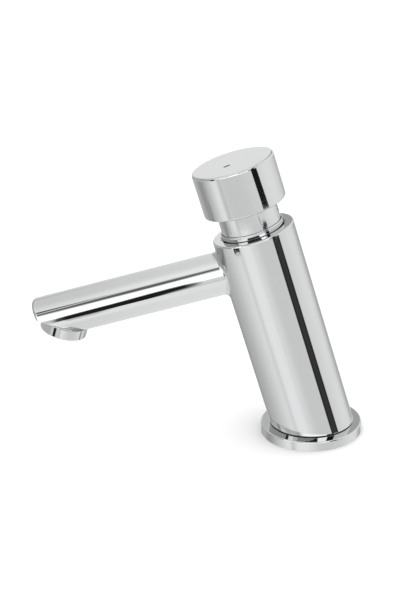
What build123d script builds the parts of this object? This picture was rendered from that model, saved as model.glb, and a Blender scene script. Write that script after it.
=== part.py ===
from build123d import *
import os
from math import sin, cos, tan, radians

# Self-closing basin mixer tap: a leaning cylinder body with a spout arm square to it,
# a mushroom push knob on top (press to open, turn for temperature), a round base flange
# and a screwed aerator under the spout's tip.
# Frame: millimetres, +Z up, origin at the middle of the base flange's underside.
# The spout points to -Y and the body leans 15 degrees the same way.

# ---------------------------------------------------------------- driving dimensions
LEAN = 15.0  # lean of the body's axis, degrees from vertical
FOOT_Y = 0.39  # where the body's axis meets the flange's top
FLANGE_R, FLANGE_T = 25.0, 5.1  # base flange
FLANGE_BORE_R = 17.15
FLANGE_FLAT_R, FLANGE_FALL = 20.95, 0.29  # level part under the foot; fall of the top from there to the rim
SPIGOT_R, SPIGOT_Z = 17.1, 1.6  # foot spigot that centres the flange
GASKET_R_IN, GASKET_R_OUT, GASKET_T = 17.7, 23.6, 1.5
SEAL_T, SEAL_R_IN, SEAL_SET_IN = 0.45, 17.25, 0.5  # thin black seal between foot and flange, set in from the edge

BODY_R = 20.12  # leaning cylinder
BODY_TOP = 104.34  # all "S" heights run along the body's axis from the flange's top
BODY_EDGE_R = 0.8
MOUTH_R, MOUTH_FLOOR = 16.05, 93.0  # mouth that takes cartridge flange and collar
BORE_R, BORE_FLOOR = 12.8, 38.0  # cartridge bore
CHAMBER_R, CHAMBER_LOW, CHAMBER_HIGH = 13.8, 75.0, 91.0  # mixed-water chamber

SPOUT_R = 10.76  # spout arm
SPOUT_S = 86.96  # height of its axis on the body
SPOUT_LEN = 114.1  # from the body's axis to the middle of the arm's end face
SPOUT_END_TILT = 13.0  # the end face leans back below
SPOUT_EDGE_R = 1.9
TIP_EDGE_R = 0.25  # round edge of the face that the aerator collar sits on
BLEND_R = 2.4  # blend between arm and body
WATERWAY_R = 4.8

AER_TILT = 17.4  # outlet axis, degrees from vertical
AER_Y, AER_Z = -122.24, 53.28  # centre of the outlet's rim
AER_R, AER_H = 11.73, 5.5  # aerator collar
BOSS_R, BOSS_END = 10.95, 1.8  # threaded boss under the spout's tip (M22 x 1)
BOSS_BORE_R, BOSS_BORE_TOP = 9.75, 5.2

KNOB_R, KNOB_LOW, KNOB_TOP = 20.19, 117.0, 139.07  # mushroom cap
NECK_R, NECK_LOW = 14.64, 104.0
KNOB_BORE_R, KNOB_ROOF = 12.3, 131.0
PUSH = 6.0  # travel of the knob

COLLAR_R, COLLAR_BORE_R, COLLAR_TOP = 16.0, 14.84, 106.85  # guide collar, threaded part
COLLAR_LOW = 97.5
COLLAR_LIP_R, COLLAR_LIP_LOW = 15.35, 101.4  # slimmer upper part, leaves a dark groove in the mouth

MANIFOLD_R, MANIFOLD_Y, MANIFOLD_LOW, MANIFOLD_TOP = 14.0, -1.0, 3.4, 24.0
INLET_X, INLET_Y = 6.5, -4.5
INLET_R = 5.0  # M10 x 1 hose threads
STUD_Y, STUD_R = 7.5, 4.0  # M8 fixing stud
THREAD_DEPTH = 14.0
PORT_R = 3.2

STEM_R, STEM_HEX = 3.0, 5.0  # hexagon across flats
STEM_LOW, STEM_TOP = 55.9, 124.0
SCREW_S = 112.0  # grub screw's height on the neck

# ---------------------------------------------------------------- planes and axes
S15, C15 = sin(radians(LEAN)), cos(radians(LEAN))
P0 = Vector(0, FOOT_Y, FLANGE_T)
U = Vector(0, -S15, C15)  # up the body's axis
W = Vector(0, -C15, -S15)  # out along the spout arm
AX = Plane(origin=P0, x_dir=(1, 0, 0), z_dir=U)  # sections square to the body's axis
PR = Plane(origin=P0, x_dir=(1, 0, 0), z_dir=W)  # profiles: x is radius, y is height S
BODY_AXIS = Axis(P0, U)
SP = Plane(origin=P0 + U * SPOUT_S, x_dir=(1, 0, 0), z_dir=W)  # square to the spout arm
END_ANGLE = radians(LEAN + SPOUT_END_TILT)
END = Plane(origin=SP.origin + W * SPOUT_LEN, x_dir=(1, 0, 0), z_dir=(0, -cos(END_ANGLE), -sin(END_ANGLE)))

ST, CT = sin(radians(AER_TILT)), cos(radians(AER_TILT))
RIM = Vector(0, AER_Y, AER_Z)
N = Vector(0, ST, CT)  # from the outlet's rim into the spout
AP = Plane(origin=RIM, x_dir=(1, 0, 0), z_dir=N)  # sections square to the outlet's axis
AR = Plane(origin=RIM, x_dir=(1, 0, 0), z_dir=(0, -CT, ST))  # profiles: x radius, y depth
AER_AXIS = Axis(RIM, N)

os.makedirs("parts", exist_ok=True)

# ================================================================ body and foot
# Leaning brass body with the spout arm in one casting.
with BuildPart() as tap_body:
    with BuildSketch(AX.offset(-14)):
        Circle(BODY_R)
    extrude(amount=14 + BODY_TOP)
    with BuildSketch(SP):
        Circle(SPOUT_R)
    extrude(amount=SPOUT_LEN + 6)
    blend = [
        e
        for e in tap_body.edges()
        if e.geom_type not in (GeomType.LINE, GeomType.CIRCLE) and (e.center() - SP.origin).length < 34
    ]
    fillet(blend, BLEND_R)
    split(bisect_by=END, keep=Keep.BOTTOM)
    end_face = tap_body.faces().sort_by(Axis(END.origin, END.z_dir))[-1]
    fillet(end_face.edges(), SPOUT_EDGE_R)
    top_rim = [e for e in tap_body.edges().filter_by(GeomType.CIRCLE) if (e.arc_center - (P0 + U * BODY_TOP)).length < 0.1]
    fillet(top_rim, BODY_EDGE_R)
    # foot cut level where it stands on its seal, edge lightly eased
    split(bisect_by=Plane.XY.offset(FLANGE_T + SEAL_T), keep=Keep.TOP)
    foot_rim = tap_body.faces().sort_by(Axis.Z)[0].outer_wire().edges()
    chamfer(foot_rim, 0.12)
    # spigot that centres the flange
    with BuildSketch(Plane.XY.offset(SPIGOT_Z)):
        Circle(SPIGOT_R)
    extrude(amount=FLANGE_T + SEAL_T - SPIGOT_Z + 1.0)
    # lower front of the arm's tip cut square to the outlet, threaded boss below it
    with BuildSketch(AP.offset(AER_H)):
        with Locations((0, -1.5)):
            Rectangle(30, 30)
    extrude(amount=-14, mode=Mode.SUBTRACT)
    tip_face = [
        f
        for f in tap_body.faces().filter_by(GeomType.PLANE)
        if f.normal_at().dot(N) < -0.999 and abs((f.center() - RIM).dot(N) - AER_H) < 0.01
    ]
    fillet(tip_face[0].outer_wire().edges(), TIP_EDGE_R)
    with BuildSketch(AP.offset(AER_H)):
        Circle(BOSS_R)
    extrude(amount=-(AER_H - BOSS_END))
    # mouth, cartridge bore and mixed-water chamber
    with BuildSketch(PR):
        with BuildLine():
            Polyline(
                (0, BORE_FLOOR),
                (BORE_R, BORE_FLOOR),
                (BORE_R, CHAMBER_LOW),
                (CHAMBER_R, CHAMBER_LOW + 1.0),
                (CHAMBER_R, CHAMBER_HIGH - 1.0),
                (BORE_R, CHAMBER_HIGH),
                (BORE_R, MOUTH_FLOOR),
                (MOUTH_R, MOUTH_FLOOR),
                (MOUTH_R, BODY_TOP - 0.15),
                (MOUTH_R + 0.15, BODY_TOP),
                (MOUTH_R + 0.15, BODY_TOP + 1),
                (0, BODY_TOP + 1),
                close=True,
            )
        make_face()
    revolve(axis=BODY_AXIS, mode=Mode.SUBTRACT)
    # waterway through the arm, and the outlet chamber in the boss
    with BuildSketch(SP.offset(9.0)):
        Circle(WATERWAY_R)
    extrude(amount=95.5, mode=Mode.SUBTRACT)
    with BuildSketch(AR):
        with BuildLine():
            Polyline(
                (0, 0),
                (BOSS_BORE_R, 0),
                (BOSS_BORE_R, BOSS_BORE_TOP),
                (8.2, BOSS_BORE_TOP),
                (8.2, 9.6),
                (0, 9.6),
                close=True,
            )
        make_face()
    revolve(axis=AER_AXIS, mode=Mode.SUBTRACT)
    # upright bore for the inlet manifold, with its snap-ring groove
    with BuildSketch(Plane.XY):
        with Locations((0, MANIFOLD_Y)):
            Circle(MANIFOLD_R + 0.03)
    extrude(amount=MANIFOLD_TOP, mode=Mode.SUBTRACT)
    with BuildSketch(Plane.XY.offset(2.2)):
        with Locations((0, MANIFOLD_Y)):
            Circle(14.9)
    extrude(amount=MANIFOLD_LOW - 2.2, mode=Mode.SUBTRACT)
    # hot and cold drillings from the manifold up to the cartridge
    with BuildSketch(AX.offset(18)):
        with Locations((INLET_X, 0), (-INLET_X, 0)):
            Circle(PORT_R)
    extrude(amount=BORE_FLOOR - 18, mode=Mode.SUBTRACT)
tap_body.part.label = "tap_body"
export_step(tap_body.part, "parts/tap_body.step")

# Round flange plate: bore for the spigot, recess for the gasket, top falling slightly outwards from the foot.
with BuildPart() as base_flange:
    with BuildSketch(Plane.XZ):
        with BuildLine():
            Polyline(
                (FLANGE_BORE_R, 0),
                (FLANGE_R, 0),
                (FLANGE_R, FLANGE_T - FLANGE_FALL),
                (FLANGE_FLAT_R, FLANGE_T),
                (FLANGE_BORE_R, FLANGE_T),
                close=True,
            )
        make_face()
    revolve(axis=Axis.Z)
    fillet(base_flange.edges().filter_by(GeomType.CIRCLE).sort_by(SortBy.RADIUS)[-2:].sort_by(Axis.Z)[-1], 0.6)
    with BuildSketch(Plane.XY):
        Circle(GASKET_R_OUT + 0.05)
        Circle(FLANGE_BORE_R - 1, mode=Mode.SUBTRACT)
    extrude(amount=GASKET_T, mode=Mode.SUBTRACT)
base_flange.part.label = "base_flange"
export_step(base_flange.part, "parts/base_flange.step")

# Rubber gasket, shown pressed flush with the flange's rim as on a washbasin.
with BuildPart() as base_gasket:
    with BuildSketch(Plane.XY):
        Circle(GASKET_R_OUT)
        Circle(GASKET_R_IN, mode=Mode.SUBTRACT)
    extrude(amount=GASKET_T)
base_gasket.part.label = "base_gasket"
export_step(base_gasket.part, "parts/base_gasket.step")

# Thin flat seal between the foot and the flange, seen as the dark line round the foot.
with BuildPart() as foot_seal:
    with BuildSketch(Plane.XY.offset(FLANGE_T)):
        with Locations((0, FOOT_Y - (SEAL_T * S15 / C15))):
            Ellipse(BODY_R - SEAL_SET_IN, BODY_R / C15 - SEAL_SET_IN)
        Circle(SEAL_R_IN, mode=Mode.SUBTRACT)
    extrude(amount=SEAL_T)
foot_seal.part.label = "foot_seal"
export_step(foot_seal.part, "parts/foot_seal.step")

# Brass plug in the foot: two hose threads, stud thread, ports to the body's drillings.
with BuildPart() as inlet_manifold:
    with BuildSketch(Plane.XY.offset(MANIFOLD_LOW)):
        with Locations((0, MANIFOLD_Y)):
            Circle(MANIFOLD_R)
    extrude(amount=MANIFOLD_TOP - MANIFOLD_LOW)
    with BuildSketch(Plane.XY.offset(MANIFOLD_LOW)):
        with Locations((INLET_X, INLET_Y), (-INLET_X, INLET_Y)):
            Circle(INLET_R)
        with Locations((0, STUD_Y)):
            Circle(STUD_R)
    extrude(amount=THREAD_DEPTH, mode=Mode.SUBTRACT)
    with BuildSketch(Plane.XY.offset(MANIFOLD_LOW + THREAD_DEPTH)):
        with Locations((INLET_X, INLET_Y), (-INLET_X, INLET_Y)):
            Circle(4.4)
    extrude(amount=3.6, mode=Mode.SUBTRACT)
    with BuildSketch(Plane.XY.offset(MANIFOLD_LOW + THREAD_DEPTH)):
        with Locations((INLET_X, INLET_Y), (-INLET_X, INLET_Y)):
            Circle(PORT_R)
    extrude(amount=10, mode=Mode.SUBTRACT)
    with BuildSketch(Plane.XY.offset(MANIFOLD_TOP - 0.9)):
        with Locations((INLET_X, INLET_Y), (-INLET_X, INLET_Y)):
            Circle(5.2)
            Circle(3.9, mode=Mode.SUBTRACT)
    extrude(amount=0.9, mode=Mode.SUBTRACT)
inlet_manifold.part.label = "inlet_manifold"
export_step(inlet_manifold.part, "parts/inlet_manifold.step")

# Two rings on top of the manifold, one round each port.
with BuildPart() as manifold_seals:
    for x in (INLET_X, -INLET_X):
        with BuildSketch(Plane(origin=(x, INLET_Y, MANIFOLD_TOP - 0.46), x_dir=(1, 0, 0), z_dir=(0, -1, 0))):
            with Locations((4.55, 0)):
                Circle(0.43)
        revolve(axis=Axis((x, INLET_Y, 0), (0, 0, 1)))
manifold_seals.part.label = "manifold_seals"
export_step(manifold_seals.part, "parts/manifold_seals.step")

# Snap ring that keeps the manifold in the foot.
with BuildPart() as manifold_circlip:
    with BuildSketch(Plane.XY.offset(2.25)):
        with Locations((0, MANIFOLD_Y)):
            Circle(14.8)
            Circle(13.1, mode=Mode.SUBTRACT)
        with Locations((0, MANIFOLD_Y - 14)):
            Rectangle(6, 5, mode=Mode.SUBTRACT)
    extrude(amount=1.1)
manifold_circlip.part.label = "manifold_circlip"
export_step(manifold_circlip.part, "parts/manifold_circlip.step")

# Two non-return valves at the ends of the hose threads.
with BuildPart() as check_valves:
    with BuildSketch(Plane.XY.offset(MANIFOLD_LOW + THREAD_DEPTH + 0.1)):
        with Locations((INLET_X, INLET_Y), (-INLET_X, INLET_Y)):
            Circle(4.35)
            Circle(2.7, mode=Mode.SUBTRACT)
            Circle(1.1)
            with PolarLocations(0, 3):
                with Locations((1.9, 0)):
                    Rectangle(2.2, 0.8)
    extrude(amount=3.4)
check_valves.part.label = "check_valves"
export_step(check_valves.part, "parts/check_valves.step")

# ================================================================ mixing cartridge, lower part
# Base with the hot and cold ports, seal grooves below and a seat for the fixed disc above.
with BuildPart() as cartridge_base:
    with BuildSketch(PR):
        with BuildLine():
            Polyline(
                (0, BORE_FLOOR),
                (BORE_R - 0.05, BORE_FLOOR),
                (BORE_R - 0.05, 40.0),
                (11.6, 40.0),
                (11.6, 41.8),
                (BORE_R - 0.05, 41.8),
                (BORE_R - 0.05, 46.0),
                (10.6, 46.0),
                (10.6, 43.0),
                (0, 43.0),
                close=True,
            )
        make_face()
    revolve(axis=BODY_AXIS)
    with BuildSketch(AX.offset(BORE_FLOOR)):
        with Locations((INLET_X, 0), (-INLET_X, 0)):
            Circle(3.0)
    extrude(amount=6, mode=Mode.SUBTRACT)
    with BuildSketch(AX.offset(BORE_FLOOR)):
        with Locations((INLET_X, 0), (-INLET_X, 0)):
            Circle(5.0)
            Circle(3.7, mode=Mode.SUBTRACT)
    extrude(amount=0.9, mode=Mode.SUBTRACT)
cartridge_base.part.label = "cartridge_base"
export_step(cartridge_base.part, "parts/cartridge_base.step")

# Two rings under the base, one round each port.
with BuildPart() as port_seals:
    for x in (INLET_X, -INLET_X):
        centre = P0 + U * (BORE_FLOOR + 0.46) + Vector(x, 0, 0)
        with BuildSketch(Plane(origin=centre, x_dir=(1, 0, 0), z_dir=W)):
            with Locations((4.35, 0)):
                Circle(0.43)
        revolve(axis=Axis(centre, U))
port_seals.part.label = "port_seals"
export_step(port_seals.part, "parts/port_seals.step")

# Rings round the cartridge's base and sleeve: they part inlets, mixed water and the mouth.
with BuildPart() as cartridge_o_rings:
    with BuildSketch(PR):
        with Locations((12.2, 40.9), (12.2, 67.8)):
            Circle(0.57)
    revolve(axis=BODY_AXIS)
cartridge_o_rings.part.label = "cartridge_o_rings"
export_step(cartridge_o_rings.part, "parts/cartridge_o_rings.step")

# Fixed ceramic disc: a hot and a cold port.
with BuildPart() as fixed_ceramic_disc:
    with BuildSketch(AX.offset(43.0)):
        Circle(10.5)
        with Locations((INLET_X, 0), (-INLET_X, 0)):
            Circle(2.7, mode=Mode.SUBTRACT)
    extrude(amount=3.0)
fixed_ceramic_disc.part.label = "fixed_ceramic_disc"
export_step(fixed_ceramic_disc.part, "parts/fixed_ceramic_disc.step")

# Turning ceramic disc: one curved slot that uncovers more of one port and less of the other.
with BuildPart() as moving_ceramic_disc:
    with BuildSketch(AX.offset(46.05)):
        Circle(10.5)
        SlotArc(CenterArc((0, 0), INLET_X, 205, 130, mode=Mode.PRIVATE), height=4.6, mode=Mode.SUBTRACT)
        with Locations((0, 10.2)):
            Rectangle(4.2, 3.0, mode=Mode.SUBTRACT)
    extrude(amount=2.95)
moving_ceramic_disc.part.label = "moving_ceramic_disc"
export_step(moving_ceramic_disc.part, "parts/moving_ceramic_disc.step")

# Carrier that turns the disc: a lug in the disc's notch, water holes, hexagon socket for the stem.
with BuildPart() as disc_carrier:
    with BuildSketch(AX.offset(49.0)):
        Circle(11.2)
        with PolarLocations(7.4, 3, start_angle=30):
            Circle(2.3, mode=Mode.SUBTRACT)
    extrude(amount=3.5)
    with BuildSketch(AX.offset(46.4)):
        with Locations((0, 10.0)):
            Rectangle(4.0, 2.2)
    extrude(amount=3.0)
    with BuildSketch(AX.offset(52.0)):
        Circle(4.6)
    extrude(amount=6.7)
    with BuildSketch(AX.offset(49.7)):
        RegularPolygon(STEM_HEX / 2 + 0.08, 6, major_radius=False)
    extrude(amount=12, mode=Mode.SUBTRACT)
disc_carrier.part.label = "disc_carrier"
export_step(disc_carrier.part, "parts/disc_carrier.step")

# Cartridge sleeve: step for the valve seat, ring groove, four outlet windows.
with BuildPart() as cartridge_housing:
    with BuildSketch(PR):
        with BuildLine():
            Polyline(
                (11.4, 46.0),
                (BORE_R - 0.05, 46.0),
                (BORE_R - 0.05, 66.9),
                (11.6, 66.9),
                (11.6, 68.7),
                (BORE_R - 0.05, 68.7),
                (BORE_R - 0.05, 85.0),
                (11.4, 85.0),
                (11.4, 69.6),
                (10.0, 69.6),
                (10.0, 65.5),
                (11.4, 64.1),
                close=True,
            )
        make_face()
    revolve(axis=BODY_AXIS)
    with BuildSketch(AX.offset(76.0)):
        Rectangle(30, 8)
        Rectangle(8, 30)
    extrude(amount=7.0, mode=Mode.SUBTRACT)
cartridge_housing.part.label = "cartridge_housing"
export_step(cartridge_housing.part, "parts/cartridge_housing.step")

# Valve seat: the ring that the poppet shuts from below.
with BuildPart() as valve_seat:
    with BuildSketch(PR):
        with BuildLine():
            Polyline(
                (5.0, 69.6),
                (11.35, 69.6),
                (11.35, 70.6),
                (10.2, 70.6),
                (10.2, 72.4),
                (11.35, 72.4),
                (11.35, 73.4),
                (6.4, 73.4),
                (5.0, 71.6),
                close=True,
            )
        make_face()
    revolve(axis=BODY_AXIS)
valve_seat.part.label = "valve_seat"
export_step(valve_seat.part, "parts/valve_seat.step")

with BuildPart() as seat_o_ring:
    with BuildSketch(PR):
        with Locations((10.8, 71.5)):
            Circle(0.55)
    revolve(axis=BODY_AXIS)
seat_o_ring.part.label = "seat_o_ring"
export_step(seat_o_ring.part, "parts/seat_o_ring.step")

# ================================================================ cartridge, upper part
# Bonnet: flange clamped by the guide collar, tower that holds the timing cylinder.
with BuildPart() as cartridge_bonnet:
    with BuildSketch(PR):
        with BuildLine():
            Polyline(
                (3.1, 85.0),
                (BORE_R - 0.05, 85.0),
                (BORE_R - 0.05, MOUTH_FLOOR),
                (MOUTH_R - 0.1, MOUTH_FLOOR),
                (MOUTH_R - 0.1, 94.3),
                (MOUTH_R - 1.3, 94.3),
                (MOUTH_R - 1.3, 96.1),
                (MOUTH_R - 0.1, 96.1),
                (MOUTH_R - 0.1, COLLAR_LOW),
                (8.3, COLLAR_LOW),
                (8.3, 111.0),
                (7.0, 111.0),
                (7.0, 107.5),
                (6.5, 107.5),
                (6.5, 89.0),
                (3.1, 89.0),
                (3.1, 87.9),
                (4.2, 87.9),
                (4.2, 86.3),
                (3.1, 86.3),
                close=True,
            )
        make_face()
    revolve(axis=BODY_AXIS)
    with BuildSketch(AX.offset(84)):
        with Locations((0, 5.3)):
            Circle(0.95)
    extrude(amount=6, mode=Mode.SUBTRACT)
cartridge_bonnet.part.label = "cartridge_bonnet"
export_step(cartridge_bonnet.part, "parts/cartridge_bonnet.step")

with BuildPart() as bonnet_o_ring:
    with BuildSketch(PR):
        with Locations((MOUTH_R - 0.65, 95.2)):
            Circle(0.6)
    revolve(axis=BODY_AXIS)
bonnet_o_ring.part.label = "bonnet_o_ring"
export_step(bonnet_o_ring.part, "parts/bonnet_o_ring.step")

# Screwed cap that closes the timing cylinder.
with BuildPart() as cylinder_cap:
    with BuildSketch(PR):
        with BuildLine():
            Polyline(
                (3.1, 107.5),
                (6.95, 107.5),
                (6.95, 111.0),
                (3.1, 111.0),
                (3.1, 110.1),
                (4.2, 110.1),
                (4.2, 108.5),
                (3.1, 108.5),
                close=True,
            )
        make_face()
    revolve(axis=BODY_AXIS)
cylinder_cap.part.label = "cylinder_cap"
export_step(cylinder_cap.part, "parts/cylinder_cap.step")

# Two rings that wipe the stem, below and above the timing cylinder.
with BuildPart() as stem_seals:
    with BuildSketch(PR):
        with Locations((3.63, 87.1), (3.63, 109.3)):
            Circle(0.55)
    revolve(axis=BODY_AXIS)
stem_seals.part.label = "stem_seals"
export_step(stem_seals.part, "parts/stem_seals.step")

# Calibrated jet that meters the water out of the timing cylinder.
with BuildPart() as timing_jet:
    with BuildSketch(AX.offset(85.6)):
        with Locations((0, 5.3)):
            Circle(0.93)
            Circle(0.25, mode=Mode.SUBTRACT)
    extrude(amount=3.0)
timing_jet.part.label = "timing_jet"
export_step(timing_jet.part, "parts/timing_jet.step")

# ================================================================ moving stem and what it carries
# Stem: hexagon below for the disc carrier, shoulder for the poppet, hexagon above for the adaptor.
with BuildPart() as stem:
    with BuildSketch(PR):
        with BuildLine():
            Polyline(
                (0, 65.0),
                (STEM_R, 65.0),
                (3.7, 65.5),
                (3.7, 66.4),
                (2.5, 66.4),
                (2.5, 69.75),
                (2.1, 69.75),
                (2.1, 70.35),
                (2.5, 70.35),
                (2.5, 71.5),
                (STEM_R, 72.0),
                (STEM_R, 118.0),
                (0, 118.0),
                close=True,
            )
        make_face()
    revolve(axis=BODY_AXIS)
    with BuildSketch(AX.offset(STEM_LOW)):
        RegularPolygon(STEM_HEX / 2, 6, major_radius=False)
    extrude(amount=66.0 - STEM_LOW)
    with BuildSketch(AX.offset(117.0)):
        RegularPolygon(STEM_HEX / 2, 6, major_radius=False)
    extrude(amount=STEM_TOP - 117.0)
    with BuildSketch(AX.offset(116.5)):
        Circle(2.0)
    extrude(amount=10, mode=Mode.SUBTRACT)
stem.part.label = "stem"
export_step(stem.part, "parts/stem.step")

# Poppet plate, its rubber washer and the clip that keeps both on the stem.
with BuildPart() as valve_poppet:
    with BuildSketch(AX.offset(66.4)):
        Circle(6.9)
        Circle(2.53, mode=Mode.SUBTRACT)
    extrude(amount=1.9)
    chamfer(valve_poppet.edges().filter_by(GeomType.CIRCLE).sort_by(SortBy.RADIUS)[-2:].sort_by(BODY_AXIS)[0], 0.6)
valve_poppet.part.label = "valve_poppet"
export_step(valve_poppet.part, "parts/valve_poppet.step")

with BuildPart() as poppet_washer:
    with BuildSketch(AX.offset(68.3)):
        Circle(6.7)
        Circle(2.53, mode=Mode.SUBTRACT)
    extrude(amount=1.25)
poppet_washer.part.label = "poppet_washer"
export_step(poppet_washer.part, "parts/poppet_washer.step")

with BuildPart() as poppet_clip:
    with BuildSketch(AX.offset(69.8)):
        Circle(4.2)
        Circle(2.15, mode=Mode.SUBTRACT)
        with Locations((0, -3)):
            Rectangle(3.2, 4, mode=Mode.SUBTRACT)
    extrude(amount=0.5)
poppet_clip.part.label = "poppet_clip"
export_step(poppet_clip.part, "parts/poppet_clip.step")

# Timing piston, a press fit on the stem, with its lip seal below.
with BuildPart() as timing_piston:
    with BuildSketch(PR):
        with BuildLine():
            Polyline(
                (STEM_R + 0.02, 99.4),
                (4.55, 99.4),
                (4.55, 101.0),
                (6.35, 101.0),
                (6.35, 104.0),
                (STEM_R + 0.02, 104.0),
                close=True,
            )
        make_face()
    revolve(axis=BODY_AXIS)
timing_piston.part.label = "timing_piston"
export_step(timing_piston.part, "parts/timing_piston.step")

with BuildPart() as piston_lip_seal:
    with BuildSketch(PR):
        with BuildLine():
            Polyline((4.6, 100.95), (4.6, 99.6), (5.3, 99.6), (5.9, 100.3), (6.2, 99.4), (6.42, 99.4), (6.35, 100.95), close=True)
        make_face()
    revolve(axis=BODY_AXIS)
piston_lip_seal.part.label = "piston_lip_seal"
export_step(piston_lip_seal.part, "parts/piston_lip_seal.step")

# Return spring between the bonnet's flange and the knob adaptor.
SPRING_R, SPRING_WIRE, SPRING_LOW, SPRING_HIGH = 9.5, 0.55, 98.1, 117.4
with BuildPart() as return_spring:
    with BuildLine() as spring_line:
        Helix(
            pitch=(SPRING_HIGH - SPRING_LOW) / 6,
            height=SPRING_HIGH - SPRING_LOW,
            radius=SPRING_R,
            center=P0 + U * SPRING_LOW,
            direction=U,
        )
    with BuildSketch(Plane(origin=spring_line.line @ 0, z_dir=spring_line.line % 0)):
        Circle(SPRING_WIRE)
    sweep(path=spring_line.line, is_frenet=True)
return_spring.part.label = "return_spring"
export_step(return_spring.part, "parts/return_spring.step")

# Adaptor: hexagon on the stem, bell over the spring, outside carries the knob.
with BuildPart() as knob_adaptor:
    with BuildSketch(PR):
        with BuildLine():
            Polyline(
                (10.6, 104.2),
                (KNOB_BORE_R - 0.05, 104.2),
                (KNOB_BORE_R - 0.05, 128.0),
                (0, 128.0),
                (0, 118.0),
                (10.6, 118.0),
                close=True,
            )
        make_face()
    revolve(axis=BODY_AXIS)
    with BuildSketch(AX.offset(117.0)):
        RegularPolygon(STEM_HEX / 2 + 0.03, 6, major_radius=False)
    extrude(amount=STEM_TOP - 117.0, mode=Mode.SUBTRACT)
    with BuildSketch(AX.offset(120.0)):
        Circle(2.1)
    extrude(amount=10, mode=Mode.SUBTRACT)
    with BuildSketch(Plane(origin=P0 + U * SCREW_S - W * 11.7, x_dir=(1, 0, 0), z_dir=-W)):
        Circle(2.05)
    extrude(amount=2, mode=Mode.SUBTRACT)
knob_adaptor.part.label = "knob_adaptor"
export_step(knob_adaptor.part, "parts/knob_adaptor.step")

# Screw that holds the adaptor on the stem.
with BuildPart() as adaptor_screw:
    with BuildSketch(AX.offset(118.5)):
        Circle(1.98)
    extrude(amount=9.5)
    with BuildSketch(AX.offset(128.0)):
        Circle(3.5)
    extrude(amount=2.4)
    fillet(adaptor_screw.edges().filter_by(GeomType.CIRCLE).sort_by(BODY_AXIS)[-1], 0.6)
    with BuildSketch(AX.offset(129.0)):
        RegularPolygon(1.5, 6, major_radius=False)
    extrude(amount=3, mode=Mode.SUBTRACT)
adaptor_screw.part.label = "adaptor_screw"
export_step(adaptor_screw.part, "parts/adaptor_screw.step")

# Push knob: mushroom cap and neck turned in one, with a short engraved dash on top.
with BuildPart() as push_knob:
    with BuildSketch(PR):
        with BuildLine():
            Polyline(
                (0, KNOB_ROOF),
                (KNOB_BORE_R, KNOB_ROOF),
                (KNOB_BORE_R, NECK_LOW),
                (NECK_R - 0.3, NECK_LOW),
                (NECK_R, NECK_LOW + 0.3),
                (NECK_R, KNOB_LOW),
                (KNOB_R, KNOB_LOW),
                (KNOB_R, KNOB_TOP),
                (0, KNOB_TOP),
                close=True,
            )
        make_face()
    revolve(axis=BODY_AXIS)
    rims = push_knob.edges().filter_by(GeomType.CIRCLE).sort_by(SortBy.RADIUS)[-2:]
    fillet(rims.sort_by(BODY_AXIS)[-1], 1.1)
    fillet(push_knob.edges().filter_by(GeomType.CIRCLE).sort_by(SortBy.RADIUS)[-2:].sort_by(BODY_AXIS)[0], 1.0)
    root = [
        e
        for e in push_knob.edges().filter_by(GeomType.CIRCLE)
        if abs(e.radius - NECK_R) < 0.01 and (e.arc_center - (P0 + U * KNOB_LOW)).length < 0.1
    ]
    fillet(root, 0.6)
    with BuildSketch(AX.offset(KNOB_TOP - 0.25)):
        with Locations(Location((4.2, -2.15, 0), (0, 0, 115))):
            SlotOverall(3.0, 1.5)
    extrude(amount=1, mode=Mode.SUBTRACT)
    with BuildSketch(Plane(origin=P0 + U * SCREW_S - W * 10, x_dir=(1, 0, 0), z_dir=-W)):
        Circle(2.03)
    extrude(amount=6, mode=Mode.SUBTRACT)
push_knob.part.label = "push_knob"
export_step(push_knob.part, "parts/push_knob.step")

# Grub screw at the back of the neck, just below the surface.
with BuildPart() as knob_grub_screw:
    with BuildSketch(Plane(origin=P0 + U * SCREW_S - W * 11.75, x_dir=(1, 0, 0), z_dir=-W)):
        Circle(2.0)
    extrude(amount=2.45)
    with BuildSketch(Plane(origin=P0 + U * SCREW_S - W * 12.8, x_dir=(1, 0, 0), z_dir=-W)):
        RegularPolygon(1.0, 6, major_radius=False)
    extrude(amount=3, mode=Mode.SUBTRACT)
knob_grub_screw.part.label = "knob_grub_screw"
export_step(knob_grub_screw.part, "parts/knob_grub_screw.step")

# Guide collar screwed into the mouth: clamps the bonnet and guides the knob's neck.
with BuildPart() as guide_collar:
    with BuildSketch(AX.offset(COLLAR_LOW)):
        Circle(COLLAR_R)
    extrude(amount=COLLAR_LIP_LOW - COLLAR_LOW)
    with BuildSketch(AX.offset(COLLAR_LIP_LOW)):
        Circle(COLLAR_LIP_R)
    extrude(amount=COLLAR_TOP - COLLAR_LIP_LOW)
    with BuildSketch(AX.offset(COLLAR_LOW)):
        Circle(COLLAR_BORE_R)
    extrude(amount=COLLAR_TOP - COLLAR_LOW, mode=Mode.SUBTRACT)
    top_edges = guide_collar.edges().filter_by(GeomType.CIRCLE).sort_by(BODY_AXIS)[-2:]
    fillet(top_edges.sort_by(SortBy.RADIUS)[-1], 0.3)
    chamfer(guide_collar.edges().filter_by(GeomType.CIRCLE).sort_by(BODY_AXIS)[-1], 0.15)
guide_collar.part.label = "guide_collar"
export_step(guide_collar.part, "parts/guide_collar.step")

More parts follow.
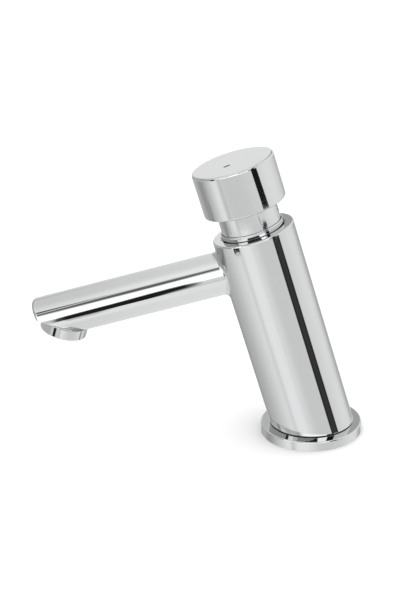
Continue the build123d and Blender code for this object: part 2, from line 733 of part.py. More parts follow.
# ================================================================ aerator
# Collar screwed on the boss; its lip holds the insert.
with BuildPart() as aerator_collar:
    with BuildSketch(AR):
        with BuildLine():
            Polyline(
                (9.1, 0),
                (AER_R, 0),
                (AER_R, AER_H),
                (BOSS_R + 0.04, AER_H),
                (BOSS_R + 0.04, 1.3),
                (9.1, 1.3),
                close=True,
            )
        make_face()
    revolve(axis=AER_AXIS)
    outer = aerator_collar.edges().filter_by(GeomType.CIRCLE).sort_by(SortBy.RADIUS)[-2:]
    fillet(outer.sort_by(AER_AXIS)[0], 0.6)
    fillet(aerator_collar.edges().filter_by(GeomType.CIRCLE).sort_by(SortBy.RADIUS)[-1], 0.15)
    lip = [e for e in aerator_collar.edges().filter_by(GeomType.CIRCLE) if abs(e.radius - 9.1) < 0.01]
    chamfer(ShapeList(lip).sort_by(AER_AXIS)[0], 0.5)
aerator_collar.part.label = "aerator_collar"
export_step(aerator_collar.part, "parts/aerator_collar.step")

# Plastic insert.
with BuildPart() as aerator_insert:
    with BuildSketch(AR):
        with BuildLine():
            Polyline(
                (8.4, 1.32),
                (9.7, 1.32),
                (9.7, 4.4),
                (7.9, 4.4),
                (7.9, 9.2),
                (6.6, 9.2),
                (6.6, 3.4),
                (8.4, 3.4),
                close=True,
            )
        make_face()
    revolve(axis=AER_AXIS)
    with BuildSketch(AP.offset(3.9)):
        Circle(6.7)
        with GridLocations(2.6, 2.6, 4, 4):
            Circle(0.8, mode=Mode.SUBTRACT)
    extrude(amount=1.0)
aerator_insert.part.label = "aerator_insert"
export_step(aerator_insert.part, "parts/aerator_insert.step")

# Honeycomb screen at the outlet.
with BuildPart() as aerator_screen:
    with BuildSketch(AP.offset(1.6)):
        Circle(8.35)
        with HexLocations(1.05, 9, 9) as comb:
            inside = [c.position for c in comb.local_locations if (c.position.X**2 + c.position.Y**2) ** 0.5 < 6.9]
        with Locations(*[(c.X, c.Y) for c in inside]):
            RegularPolygon(0.78, 6, major_radius=False, mode=Mode.SUBTRACT)
    extrude(amount=1.6)
aerator_screen.part.label = "aerator_screen"
export_step(aerator_screen.part, "parts/aerator_screen.step")

with BuildPart() as aerator_gasket:
    with BuildSketch(AP.offset(4.4)):
        Circle(9.65)
        Circle(8.0, mode=Mode.SUBTRACT)
    extrude(amount=BOSS_BORE_TOP - 4.4)
aerator_gasket.part.label = "aerator_gasket"
export_step(aerator_gasket.part, "parts/aerator_gasket.step")

# Flow regulator: small disc with metering holes in the insert's nose.
with BuildPart() as flow_regulator:
    with BuildSketch(AP.offset(5.6)):
        Circle(6.55)
        with PolarLocations(4.2, 8):
            Circle(0.7, mode=Mode.SUBTRACT)
    extrude(amount=1.6)
    with BuildSketch(AP.offset(7.0)):
        Circle(1.6)
    extrude(amount=1.6)
flow_regulator.part.label = "flow_regulator"
export_step(flow_regulator.part, "parts/flow_regulator.step")
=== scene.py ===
from math import atan, cos, radians, sin, sqrt

import bpy
from mathutils import Matrix, Vector

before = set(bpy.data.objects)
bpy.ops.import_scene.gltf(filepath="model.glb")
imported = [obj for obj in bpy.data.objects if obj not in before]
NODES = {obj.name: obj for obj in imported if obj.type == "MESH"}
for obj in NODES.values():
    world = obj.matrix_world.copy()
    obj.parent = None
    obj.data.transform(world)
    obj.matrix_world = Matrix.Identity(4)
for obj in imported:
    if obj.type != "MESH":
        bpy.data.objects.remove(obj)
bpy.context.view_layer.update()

# ------------------------------------------------------------------ directions on the tap, metres
S15, C15 = sin(radians(15)), cos(radians(15))
P0 = Vector((0, 0.00039, 0.0051))
U = Vector((0, -S15, C15))  # up the leaning body
W = Vector((0, -C15, -S15))  # out along the spout
ST, CT = sin(radians(17.4)), cos(radians(17.4))
RIM = Vector((0, -0.12224, 0.05328))
N = Vector((0, ST, CT))  # from the outlet's rim into the spout


# ------------------------------------------------------------------ node helpers
class Tree:
    """Short names for building a node tree."""

    def __init__(self, tree):
        self.t = tree
        self.n = tree.nodes
        self.n.clear()

    def new(self, kind, **props):
        node = self.n.new(kind)
        for k, v in props.items():
            setattr(node, k, v)
        return node

    def put(self, socket, value):
        if hasattr(value, "is_linked"):
            self.t.links.new(value, socket)
        elif value is not None:
            socket.default_value = value

    def math(self, op, a, b=None, c=None, clamp=False):
        node = self.new("ShaderNodeMath", operation=op, use_clamp=clamp)
        self.put(node.inputs[0], a)
        self.put(node.inputs[1], b)
        self.put(node.inputs[2], c)
        return node.outputs[0]

    def vec(self, op, a, b=None):
        node = self.new("ShaderNodeVectorMath", operation=op)
        self.put(node.inputs[0], a)
        self.put(node.inputs[1], b)
        return node.outputs["Value"] if op in ("DOT_PRODUCT", "LENGTH", "DISTANCE") else node.outputs["Vector"]

    def ramp(self, x, lo, hi, out_lo=0.0, out_hi=1.0, smooth=True):
        node = self.new("ShaderNodeMapRange", interpolation_type="SMOOTHSTEP" if smooth else "LINEAR")
        self.put(node.inputs["Value"], x)
        for name, v in (("From Min", lo), ("From Max", hi), ("To Min", out_lo), ("To Max", out_hi)):
            self.put(node.inputs[name], v)
        return node.outputs["Result"]

    def noise(self, co, scale, detail=2.0, rough=0.5):
        node = self.new("ShaderNodeTexNoise")
        self.put(node.inputs["Vector"], co)
        node.inputs["Scale"].default_value = scale
        node.inputs["Detail"].default_value = detail
        node.inputs["Roughness"].default_value = rough
        return node.outputs["Fac"]

    def mix(self, fac, a, b):
        node = self.new("ShaderNodeMix", data_type="RGBA")
        self.put(node.inputs["Factor"], fac)
        self.put(node.inputs["A"], a)
        self.put(node.inputs["B"], b)
        return node.outputs["Result"]

    def stretch(self, co, direction, factor):
        """Coordinates squeezed along one direction, so that noise runs long that way."""
        d = self.vec("DOT_PRODUCT", co, tuple(direction))
        shift = self.new("ShaderNodeVectorMath", operation="SCALE")
        shift.inputs[0].default_value = tuple(direction)
        self.put(shift.inputs["Scale"], self.math("MULTIPLY", d, factor - 1.0))
        return self.vec("ADD", co, shift.outputs["Vector"])


def rgb(r, g, b):
    return (r, g, b, 1.0)


def material(name):
    m = bpy.data.materials.new(name)
    m.use_nodes = True
    t = Tree(m.node_tree)
    out = t.new("ShaderNodeOutputMaterial")
    bsdf = t.new("ShaderNodeBsdfPrincipled")
    t.t.links.new(bsdf.outputs["BSDF"], out.inputs["Surface"])
    co = t.new("ShaderNodeTexCoord").outputs["Object"]
    return m, t, bsdf, co


def bump(t, bsdf, height, strength, distance):
    node = t.new("ShaderNodeBump")
    node.inputs["Strength"].default_value = strength
    node.inputs["Distance"].default_value = distance
    t.put(node.inputs["Height"], height)
    t.t.links.new(node.outputs["Normal"], bsdf.inputs["Normal"])


# ------------------------------------------------------------------ materials
CHROME = (0.665, 0.67, 0.675)


def chrome(name, mark=None):
    """Polished chrome plate: very slight waviness left by the polishing, faint haze and wiping marks."""
    m, t, bsdf, co = material(name)
    bsdf.inputs["Metallic"].default_value = 1.0
    haze = t.noise(co, 38.0, 3.0, 0.55)
    wipe = t.noise(t.stretch(co, U, 0.12), 900.0, 2.0, 0.6)
    tone = t.math("ADD", t.math("MULTIPLY", haze, 0.6), t.math("MULTIPLY", wipe, 0.4))
    colour = t.mix(t.ramp(tone, 0.3, 0.7), rgb(*[c * 0.985 for c in CHROME]), rgb(*[min(1.0, c * 1.01) for c in CHROME]))
    rough = t.ramp(tone, 0.3, 0.75, 0.018, 0.034)
    wave = t.math("ADD", t.math("MULTIPLY", t.noise(co, 70.0, 1.0), 0.8), t.math("MULTIPLY", t.noise(co, 420.0, 2.0), 0.2))
    if mark:
        centre, along, across, half_long, half_wide = mark
        d = t.vec("SUBTRACT", co, tuple(centre))
        a = t.math("ABSOLUTE", t.vec("DOT_PRODUCT", d, tuple(along)))
        b = t.math("ABSOLUTE", t.vec("DOT_PRODUCT", d, tuple(across)))
        h = t.math("ABSOLUTE", t.vec("DOT_PRODUCT", d, tuple(U)))
        inside = t.math("MULTIPLY", t.math("LESS_THAN", a, half_long), t.math("LESS_THAN", b, half_wide))
        inside = t.math("MULTIPLY", inside, t.math("LESS_THAN", h, 0.0006))
        ink = t.ramp(t.noise(co, 2500.0, 2.0), 0.35, 0.65)
        colour = t.mix(inside, colour, t.mix(ink, rgb(0.075, 0.078, 0.082), rgb(0.12, 0.124, 0.13)))
        rough = t.math("ADD", rough, t.math("MULTIPLY", inside, 0.35))
    t.put(bsdf.inputs["Base Color"], colour)
    t.put(bsdf.inputs["Roughness"], rough)
    bump(t, bsdf, wave, 0.05, 0.0002)
    return m


def brushed(name, colour, direction, rough=0.3, scale=1800.0):
    """Drawn, turned or stamped metal with fine lines along a direction and a little tarnish."""
    m, t, bsdf, co = material(name)
    bsdf.inputs["Metallic"].default_value = 1.0
    lines = t.noise(t.stretch(co, direction, 0.06), scale, 3.0, 0.6)
    stain = t.noise(co, 160.0, 4.0, 0.6)
    dark = rgb(*[c * 0.72 for c in colour])
    light = rgb(*[min(1.0, c * 1.06) for c in colour])
    base = t.mix(t.ramp(lines, 0.3, 0.7), dark, light)
    base = t.mix(t.ramp(stain, 0.52, 0.75, 0.0, 0.45), base, rgb(*[c * 0.55 for c in colour]))
    t.put(bsdf.inputs["Base Color"], base)
    t.put(bsdf.inputs["Roughness"], t.ramp(lines, 0.25, 0.75, rough - 0.08, rough + 0.12))
    bump(t, bsdf, lines, 0.25, 0.00006)
    return m


def rubber(name, colour=(0.022, 0.022, 0.024)):
    m, t, bsdf, co = material(name)
    grain = t.noise(co, 2600.0, 4.0, 0.65)
    bloom = t.noise(co, 240.0, 3.0, 0.6)
    base = t.mix(t.ramp(grain, 0.35, 0.7), rgb(*colour), rgb(*[c * 1.9 for c in colour]))
    base = t.mix(t.ramp(bloom, 0.5, 0.8, 0.0, 0.35), base, rgb(0.09, 0.09, 0.09))
    t.put(bsdf.inputs["Base Color"], base)
    t.put(bsdf.inputs["Roughness"], t.ramp(grain, 0.3, 0.7, 0.55, 0.8))
    bump(t, bsdf, grain, 0.4, 0.00005)
    return m


def plastic(name, colour, rough=0.42, depth=0.82):
    """Moulded plastic: fine spark-eroded grain, slow change of tone."""
    m, t, bsdf, co = material(name)
    grain = t.noise(co, 3200.0, 2.0, 0.5)
    flow = t.noise(co, 130.0, 3.0, 0.55)
    base = t.mix(t.ramp(flow, 0.35, 0.65), rgb(*[c * depth for c in colour]), rgb(*colour))
    t.put(bsdf.inputs["Base Color"], base)
    t.put(bsdf.inputs["Roughness"], t.ramp(grain, 0.3, 0.7, rough - 0.07, rough + 0.1))
    bump(t, bsdf, grain, 0.3, 0.00004)
    return m


def ceramic(name):
    m, t, bsdf, co = material(name)
    speck = t.noise(co, 5200.0, 2.0, 0.5)
    tone = t.noise(co, 220.0, 3.0, 0.5)
    base = t.mix(t.ramp(tone, 0.35, 0.65), rgb(0.84, 0.82, 0.78), rgb(0.92, 0.91, 0.88))
    base = t.mix(t.ramp(speck, 0.66, 0.74, 0.0, 0.5), base, rgb(0.62, 0.60, 0.56))
    t.put(bsdf.inputs["Base Color"], base)
    t.put(bsdf.inputs["Roughness"], t.ramp(tone, 0.3, 0.7, 0.16, 0.28))
    bump(t, bsdf, speck, 0.12, 0.00003)
    return m


MARK_TURN = radians(115)
mark_along = Vector((1, 0, 0)) * cos(MARK_TURN) + U.cross(Vector((1, 0, 0))) * sin(MARK_TURN)
mark_across = U.cross(mark_along)
mark_centre = P0 + U * 0.13907 + Vector((1, 0, 0)) * 0.0042 + U.cross(Vector((1, 0, 0))) * -0.00215

M = {
    "chrome": chrome("chrome_plate"),
    "chrome_knob": chrome("chrome_plate_knob", (mark_centre, mark_along, mark_across, 0.00165, 0.0008)),
    "brass": brushed("turned_brass", (0.80, 0.61, 0.30), (1, 0, 0), 0.3),
    "brass_stem": brushed("drawn_brass", (0.83, 0.66, 0.36), U, 0.24),
    "steel": brushed("machined_steel", (0.60, 0.60, 0.61), U, 0.32),
    "spring": brushed("spring_steel", (0.55, 0.56, 0.58), (1, 0, 0), 0.26),
    "rubber": rubber("black_rubber"),
    "seal": rubber("seal_rubber", (0.03, 0.028, 0.028)),
    "black": plastic("black_plastic", (0.035, 0.036, 0.04)),
    "grey": plastic("grey_plastic", (0.30, 0.31, 0.33)),
    "white": plastic("white_plastic", (0.82, 0.82, 0.79), 0.36, 0.93),
    "mesh_grey": plastic("outlet_plastic", (0.56, 0.57, 0.59), 0.34),
    "green": plastic("regulator_plastic", (0.10, 0.36, 0.20), 0.38),
    "ceramic": ceramic("white_ceramic"),
}
USE = {
    "chrome": "tap_body base_flange guide_collar aerator_collar",
    "chrome_knob": "push_knob",
    "brass": "inlet_manifold valve_seat timing_jet knob_adaptor valve_poppet cylinder_cap",
    "brass_stem": "stem",
    "steel": "adaptor_screw knob_grub_screw",
    "spring": "manifold_circlip return_spring poppet_clip",
    "rubber": "base_gasket aerator_gasket poppet_washer",
    "seal": "foot_seal manifold_seals port_seals cartridge_o_rings seat_o_ring bonnet_o_ring stem_seals piston_lip_seal",
    "black": "check_valves",
    "grey": "cartridge_base cartridge_housing cartridge_bonnet",
    "white": "disc_carrier timing_piston aerator_insert",
    "mesh_grey": "aerator_screen",
    "green": "flow_regulator",
    "ceramic": "fixed_ceramic_disc moving_ceramic_disc",
}
given = set()
for key, names in USE.items():
    for node in names.split():
        for s in NODES[node].material_slots:
            s.material = M[key]
        given.add(node)
assert given == set(NODES), given ^ set(NODES)

# ------------------------------------------------------------------ floor
mesh = bpy.data.meshes.new("floor")
FLOOR = 5.0
mesh.from_pydata([(-FLOOR, -FLOOR, 0), (FLOOR, -FLOOR, 0), (FLOOR, FLOOR, 0), (-FLOOR, FLOOR, 0)], [], [(0, 1, 2, 3)])
floor = bpy.data.objects.new("floor", mesh)
bpy.context.collection.objects.link(floor)
m, t, bsdf, co = material("pale_floor")
t.put(bsdf.inputs["Base Color"], t.mix(t.noise(co, 9.0, 3.0), rgb(0.90, 0.90, 0.90), rgb(0.915, 0.915, 0.915)))
bsdf.inputs["Roughness"].default_value = 0.9
bsdf.inputs["Specular IOR Level"].default_value = 0.1
mesh.materials.append(m)
floor.visible_glossy = False


# ------------------------------------------------------------------ studio cards that only show in reflections
def card(name, origin, along, up, stations, strength, reach=None, one_sided=False, near=None):
    """A soft-edged card drawn through stations (place along, lower edge, upper edge, softness below, softness above, opacity), millimetres.

    It shows only in reflections, and only in what is within reach of it (and no nearer than near); a one-sided card only from its back."""
    along, up, origin = Vector(along).normalized(), Vector(up).normalized(), Vector(origin)
    pts, uvs, faces = [], [], []
    for a, lo, hi, soft_lo, soft_hi, opacity in stations:
        a, lo, hi, soft_lo, soft_hi = (v / 1000 for v in (a, lo, hi, soft_lo, soft_hi))
        for b, edge in ((lo - soft_lo / 2, 0.0), (lo + soft_lo / 2, 1.0), (hi - soft_hi / 2, 1.0), (hi + soft_hi / 2, 0.0)):
            pts.append(tuple(origin + along * a + up * b))
            uvs.append((opacity, edge))
    for k in range(len(stations) - 1):
        for r in range(3):
            faces.append((4 * k + r, 4 * k + 4 + r, 4 * k + 5 + r, 4 * k + 1 + r))
    me = bpy.data.meshes.new(name)
    me.from_pydata(pts, [], faces)
    uv = me.uv_layers.new(name="card")
    for loop in me.loops:
        uv.data[loop.index].uv = uvs[loop.vertex_index]
    o = bpy.data.objects.new(name, me)
    bpy.context.collection.objects.link(o)
    ma = bpy.data.materials.new(name)
    ma.use_nodes = True
    t = Tree(ma.node_tree)
    out = t.new("ShaderNodeOutputMaterial")
    sep = t.new("ShaderNodeSeparateXYZ")
    t.put(sep.inputs[0], t.new("ShaderNodeTexCoord").outputs["UV"])
    fade = t.math("MULTIPLY", sep.outputs["X"], t.ramp(sep.outputs["Y"], 0.0, 1.0))
    if reach:
        path = t.new("ShaderNodeLightPath")
        fade = t.math("MULTIPLY", fade, t.math("LESS_THAN", path.outputs["Ray Length"], reach))
        if not one_sided:  # the first reflection only
            fade = t.math("MULTIPLY", fade, t.math("LESS_THAN", path.outputs["Glossy Depth"], 1.5))
    if near:
        fade = t.math("MULTIPLY", fade, t.ramp(path.outputs["Ray Length"], near, near * 1.12))
    if one_sided:
        fade = t.math("MULTIPLY", fade, t.new("ShaderNodeNewGeometry").outputs["Backfacing"])
    emit = t.new("ShaderNodeEmission")
    emit.inputs["Color"].default_value = rgb(1, 1, 1)
    emit.inputs["Strength"].default_value = strength
    clear = t.new("ShaderNodeBsdfTransparent")
    mixer = t.new("ShaderNodeMixShader")
    t.put(mixer.inputs[0], fade)
    t.put(mixer.inputs[1], clear.outputs[0])
    t.put(mixer.inputs[2], emit.outputs[0])
    t.put(out.inputs["Surface"], mixer.outputs[0])
    me.materials.append(ma)
    ma.cycles.emission_sampling = "NONE"
    for flag in ("visible_camera", "visible_diffuse", "visible_transmission", "visible_volume_scatter", "visible_shadow"):
        setattr(o, flag, False)
    return o


# a narrow black flag held close beside the spout draws the dark line under its white highlight
ARM = P0 + U * 0.08696  # the spout's axis where it leaves the body
SIDE = Vector((1, 0, 0))
UP = W.cross(SIDE)
card("spout_flag", ARM + SIDE * 0.036, W, UP, (
    (33.0, -3.6, 4.0, 5.0, 5.0, 0.0),
    (38.5, -4.0, 5.0, 5.0, 5.0, 0.8),
    (43.5, -4.6, 5.9, 4.5, 5.0, 1.0),
    (51.5, -5.4, 6.3, 4.5, 5.0, 1.0),
    (61.5, -7.2, 6.1, 4.5, 4.5, 1.0),
    (71.5, -9.2, 5.2, 5.0, 4.5, 1.0),
    (81.5, -10.8, 4.4, 6.0, 4.5, 1.0),
    (91.5, -12.7, 4.2, 7.0, 4.5, 1.0),
    (106.5, -12.5, 3.4, 7.0, 4.5, 1.0),
    (111.5, -9.3, 1.9, 5.0, 4.5, 0.9),
    (115.5, -6.0, -0.6, 3.0, 3.0, 0.0)), 0.016, reach=0.031)
# a small one level with the collar, seen from below only
card("collar_flag", P0 + U * 0.113, W, SIDE, (
    (-17.5, 33.0, 48.0, 1.0, 1.0, 0.0),
    (-16.0, 33.0, 48.0, 1.0, 1.0, 1.0),
    (10.0, 33.0, 48.0, 1.0, 1.0, 1.0),
    (11.5, 33.0, 48.0, 1.0, 1.0, 0.0)), 0.05, reach=0.033, one_sided=True)
# a small one by the knob's rim
rim_up = Vector((-0.009, -0.246, 0.969))
card("rim_flag", (0.02368, -0.05012, 0.13475), (-0.822, -0.55, -0.147), rim_up, (
    (-2.2, -2.6, 3.0, 1.0, 1.0, 0.0),
    (-1.4, -2.8, 3.6, 1.0, 1.0, 1.0),
    (1.4, -2.8, 4.2, 1.0, 1.0, 1.0),
    (2.2, -2.4, 3.6, 1.0, 1.0, 0.0)), 0.01, reach=0.0125)
# a pale one beyond the knob's flat top keeps the soft box out of it from the far side
card("top_flag", P0 + U * 0.13907 + SIDE * 0.030, -W, U, (
    (-23.0, 1.5, 30.0, 1.5, 8.0, 0.0),
    (-19.0, 1.5, 30.0, 1.5, 8.0, 1.0),
    (22.5, 1.5, 30.0, 1.5, 8.0, 1.0),
    (25.0, 1.5, 30.0, 1.5, 8.0, 0.0)), 0.95, reach=0.062, one_sided=True, near=0.014)
# a grey one low beside the foot with a black edge, which only the flange's top shows
BACK = Vector((0, 1, 0))
card("foot_card", (0, 0, 0.017), BACK, SIDE * -1, (
    (-17.8, -42.0, -32.0, 1.0, 1.0, 0.0),
    (-16.5, -42.0, -32.0, 1.0, 1.0, 1.0),
    (1.0, -42.0, -32.0, 1.0, 0.8, 1.0),
    (6.5, -42.0, -32.0, 1.0, 0.8, 1.0),
    (7.8, -42.0, -32.0, 1.0, 0.8, 0.0)), 0.43, reach=0.030, one_sided=True)
card("foot_flag", (0, 0, 0.0168), BACK, SIDE * -1, (
    (-6.0, -34.0, -32.8, 0.6, 0.4, 0.0),
    (-4.5, -34.0, -32.4, 0.6, 0.4, 0.8),
    (1.0, -32.9, -31.0, 0.6, 0.4, 1.0),
    (4.0, -32.9, -29.8, 0.6, 0.4, 1.0),
    (7.5, -33.0, -28.8, 0.6, 0.4, 1.0),
    (8.6, -32.5, -28.8, 0.6, 0.4, 0.0)), 0.02, reach=0.030, one_sided=True)

# ------------------------------------------------------------------ studio surroundings: soft panels all round, dark gaps between them
world = bpy.data.worlds.new("studio")
bpy.context.scene.world = world
world.use_nodes = True
t = Tree(world.node_tree)
out = t.new("ShaderNodeOutputWorld")
direction = t.new("ShaderNodeTexCoord").outputs["Generated"]
sep = t.new("ShaderNodeSeparateXYZ")
t.put(sep.inputs[0], direction)
x, y, z = sep.outputs
az = t.math("MULTIPLY", t.math("ARCTAN2", x, t.math("MULTIPLY", y, -1.0)), 57.29578)
el = t.math("MULTIPLY", t.math("ARCSINE", z), 57.29578)
# the panels stand round the tap's own leaning axis: angle round it, and height along it
along_w = t.vec("DOT_PRODUCT", direction, tuple(W))
c = t.vec("DOT_PRODUCT", direction, tuple(U))
phi = t.math("MULTIPLY", t.math("ARCTAN2", x, along_w), 57.29578)
flat = t.new("ShaderNodeCombineXYZ")
t.put(flat.inputs[0], x)
t.put(flat.inputs[1], along_w)
flat = t.vec("NORMALIZE", flat.outputs[0])


def lobe(angle, spread, amount):
    a = radians(angle)
    d = t.vec("DOT_PRODUCT", flat, (sin(a), cos(a), 0.0))
    g = t.math("EXPONENT", t.math("MULTIPLY", t.math("SUBTRACT", d, 1.0), 1.0 / radians(spread) ** 2))
    return t.math("MULTIPLY", g, amount)


def glow(azimuth, elevation, spread, amount):
    """A soft round spot of light, or of shade where the amount is negative."""
    a, e = radians(azimuth), radians(elevation)
    d = t.vec("DOT_PRODUCT", direction, (sin(a) * cos(e), -cos(a) * cos(e), sin(e)))
    g = t.math("EXPONENT", t.math("MULTIPLY", t.math("SUBTRACT", d, 1.0), 1.0 / radians(spread) ** 2))
    return t.math("MULTIPLY", g, amount)


def band(v, lo, hi, soft_lo, soft_hi=None):
    soft_hi = soft_lo if soft_hi is None else soft_hi
    if isinstance(lo, (int, float)):
        rise = t.ramp(v, lo - soft_lo / 2, lo + soft_lo / 2)
        fall = t.ramp(v, hi - soft_hi / 2, hi + soft_hi / 2, 1.0, 0.0)
    else:
        rise = t.ramp(t.math("SUBTRACT", v, lo), -soft_lo / 2, soft_lo / 2)
        fall = t.ramp(t.math("SUBTRACT", v, hi), -soft_hi / 2, soft_hi / 2, 1.0, 0.0)
    return t.math("MULTIPLY", rise, fall)


def over(below, cover, value):
    """Lays a panel of one brightness over what is behind it."""
    return t.math("ADD", t.math("MULTIPLY", below, t.math("SUBTRACT", 1.0, cover)), t.math("MULTIPLY", cover, value))


def total(base, parts):
    for p in parts:
        base = t.math("ADD", base, p)
    return base


# lower ring of panels, which the leaning body shows
ring = total(0.806, [lobe(*l) for l in (
    (70, 20, 0.266), (-144, 37, 0.236), (-52, 7, -0.143), (-47, 37, -0.264), (35, 22, 0.155),
    (48, 4, -0.148), (-105, 17, -0.559), (-93, 12, 0.439), (105, 7, -0.026))])
# next ring, which the push knob shows
knob_ring = total(0.815, [lobe(*l) for l in (
    (-163, 34, 0.231), (-81, 27, -0.598), (-16, 15, -0.354), (35, 11, 0.255),
    (47, 4, -0.192), (-111, 6, -0.164), (-83, 18, 0.546), (131, 16, 0.039))])
level = over(ring, t.ramp(c, -0.309, -0.300), knob_ring)
# dome above, a little dimmer towards the front
dome = total(0.90, [glow(46, 50, 13, 0.24), glow(-77, 6, 13, 0.025), glow(-150, 10, 30, 0.10)])
dome = t.math("MULTIPLY", dome, t.ramp(along_w, 0.17, 0.31, 1.05, 0.91))
level = over(level, t.ramp(c, -0.24, -0.12), dome)
# grey wall in front with a darker upright strip at its end, then a pale panel up to the soft box
front = t.math("MULTIPLY", band(az, -62, 31, 10.0, 2.5), band(el, -19.5, 31.5, 2.0, 4.0))
level = over(level, front, t.ramp(el, -9.0, 2.0, 0.60, 0.52))
level = over(level, t.math("MULTIPLY", band(az, 17, 31, 6.0, 2.5), band(el, -7.0, 19, 2.0, 3.0)), 0.38)
for low, high in ((12.4, 14.6), (19.4, 23.0)):
    level = over(level, t.math("MULTIPLY", band(az, 22.0, 30.5, 2.0), band(el, low, high, 1.0)), 0.03)
level = over(level, t.math("MULTIPLY", band(az, 31, 44, 2.5), band(el, -9, 27, 3.0)), 1.35)
level = over(level, t.math("MULTIPLY", band(az, -4, 54, 12.0, 4.0), band(el, 34.0, 42.5, 3.0)), 1.3)
# grey wall behind, seen flat over the body's and the flange's top
rear = t.math("MULTIPLY", band(az, -104, -76.5, 8.0, 1.2), band(el, 13.7, 40, 1.2, 6.0))
level = over(level, rear, t.ramp(el, 17, 22, 0.45, t.ramp(az, -92.5, -83.0, 0.49, 0.63)))
# under the spout the pale table top fills the view
level = over(level, t.ramp(z, -0.62, -0.80), t.math("MULTIPLY", t.ramp(along_w, 0.17, 0.31, 1.05, 0.93), 1.0))
# bright soft box beside the camera, dark band above it
top = t.math("SUBTRACT", el, t.math("MULTIPLY", t.math("SUBTRACT", az, 60.0), 0.25))
level = over(level, t.math("MULTIPLY", band(az, 56.0, 66.5, 3.0, 2.0), band(el, 27.0, 42.0, 8.0, 9.0)), 0.17)
level = over(level, t.math("MULTIPLY", band(az, 43, 132, 3.0), t.math("MULTIPLY", t.ramp(el, -2.1, 0.9), t.ramp(top, 19.0, 29.0, 1.0, 0.0))), t.ramp(az, 66, 74, 1.6, 1.9))
level = over(level, t.math("MULTIPLY", band(az, 112, 141, 4.0), band(el, 38, 51, 4.0)), 1.75)
# dark things which only rounded edges show, in their first reflection
path = t.new("ShaderNodeLightPath")
first = t.math("LESS_THAN", path.outputs["Glossy Depth"], 1.5)
level = over(level, t.math("MULTIPLY", t.math("MULTIPLY", band(az, 46.5, 53.5, 2.0), band(el, 28, 43, 3.0)), first), 0.02)
level = over(level, t.math("MULTIPLY", t.math("MULTIPLY", band(az, 98, 131, 4.0), band(el, 19, 33, 4.0)), first), 0.03)
# black gap between two panels: narrower and further round the higher it is
rise_l = t.math("MULTIPLY", t.math("MAXIMUM", t.math("ADD", c, 0.292), 0.0), -100.0)
rise_r = t.math("MULTIPLY", t.math("MAXIMUM", t.math("ADD", c, 0.315), 0.0), -140.0)
left = t.math("ADD", t.math("MAXIMUM", rise_l, -10.0), 143.5)
right = t.math("ADD", t.math("MAXIMUM", rise_r, -14.0), 165.0)
left = t.math("ADD", left, t.math("ADD", t.ramp(c, 0.15, 0.25, 0.0, 8.5), t.ramp(c, 0.40, 0.50, 0.0, 7.5)))
right = t.math("ADD", right, t.math("ADD", t.ramp(c, 0.15, 0.25, 0.0, 4.0), t.ramp(c, 0.40, 0.50, 0.0, 17.0)))
gap = t.math("MULTIPLY", band(phi, left, right, 2.6, 3.0), band(c, -0.48, 0.62, 0.03, 0.06))
gap = t.math("MULTIPLY", gap, t.math("SUBTRACT", 1.0, band(c, -0.3133, -0.2973, 0.0006)))
inner = band(phi, t.math("ADD", left, 4.5), t.math("SUBTRACT", right, 4.5), 3.0)
inner = t.math("MULTIPLY", inner, t.ramp(c, -0.309, -0.300, 0.026, 0.002))
gap = t.math("MULTIPLY", gap, t.math("LESS_THAN", path.outputs["Glossy Depth"], 2.5))
level = over(level, gap, t.math("ADD", inner, t.ramp(c, -0.309, -0.300, 0.024, 0.012)))
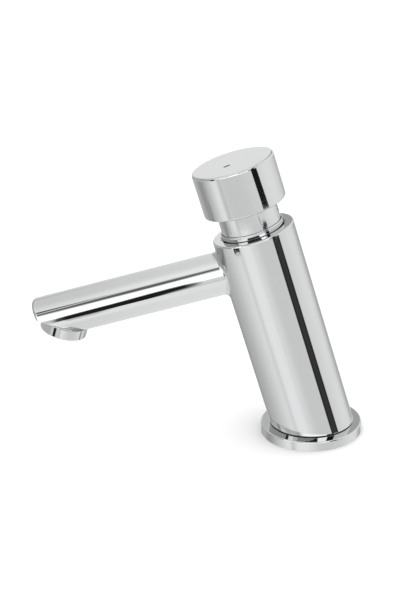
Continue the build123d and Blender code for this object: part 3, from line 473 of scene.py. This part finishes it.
# what the neck and the collar show between the knob and the body: end of the black gap and two thin edges of panels
for spot, value in (
        (t.math("MULTIPLY", band(phi, 143, 158, 2.0), band(c, -0.3080, -0.3046, 0.0008)), 0.005),
        (t.math("MULTIPLY", band(phi, 137, 151, 2.0), band(c, -0.3103, -0.3072, 0.0006)), 0.005),
        (t.math("MULTIPLY", band(phi, 133, 136.5, 2.5), band(c, -0.3057, -0.2998, 0.0006)), 0.42),
        (t.math("MULTIPLY", band(t.math("SUBTRACT", phi, t.ramp(c, -0.3061, -0.2991, 9.8, 0.2, False)), -1.5, 1.5, 1.5), band(c, -0.3065, -0.2973, 0.0006)), 0.36),
        (t.math("MULTIPLY", band(phi, 145.5, 153.5, 2.0), band(c, -0.3107, -0.31015, 0.0002)), 0.02),
        (t.math("MULTIPLY", band(phi, 29.0, 47.4, 1.4), band(c, -0.3182, -0.3110, 0.0006)), 0.005)):
    level = over(level, spot, value)
# small dark things low in front, which only the outlet's ring shows
level = over(level, t.math("MULTIPLY", band(az, 43.5, 56.0, 2.5), band(el, -18.7, -8, 1.5, 4.0)), 0.02)
level = over(level, t.math("MULTIPLY", t.math("MAXIMUM", band(az, -172, -158, 5.0), 0.0), band(el, -50, -36, 5.0)), 0.42)

bg = t.new("ShaderNodeBackground")
strength = over(1.5, path.outputs["Is Glossy Ray"], level)
bg.inputs["Color"].default_value = rgb(1, 1, 1)
t.put(bg.inputs["Strength"], strength)
t.put(out.inputs["Surface"], bg.outputs[0])

# ------------------------------------------------------------------ camera at the photograph's viewing angle
AZ, EL, DIST, FOCAL, ROLL = 96.3307, 22.2397, 0.743267, 1521.83, -2.34029
TARGET = Vector((0, -0.0530747, 0.0691987))
a, e, r = radians(AZ), radians(EL), radians(ROLL)
back = Vector((sin(a) * cos(e), -cos(a) * cos(e), sin(e)))
right = Vector((cos(a), sin(a), 0))
up = back.cross(right)
right, up = right * cos(r) + up * sin(r), up * cos(r) - right * sin(r)
cam = bpy.data.cameras.new("camera")
cam.sensor_width = 36.0
cam.sensor_fit = "AUTO"
cam.lens = FOCAL * 36.0 / 601
cam.clip_start, cam.clip_end = 0.01, 50.0
camera = bpy.data.objects.new("camera", cam)
place = Matrix((right, up, back)).transposed().to_4x4()
place.translation = TARGET + back * DIST
camera.matrix_world = place
bpy.context.collection.objects.link(camera)
bpy.context.scene.camera = camera

sc = bpy.context.scene
sc.view_settings.view_transform = "Standard"
sc.view_settings.look = "None"
sc.view_settings.exposure = 0.0
sc.view_settings.gamma = 1.0
sc.cycles.max_bounces = 12
sc.cycles.glossy_bounces = 8
sc.cycles.transparent_max_bounces = 16
sc.cycles.caustics_reflective = False
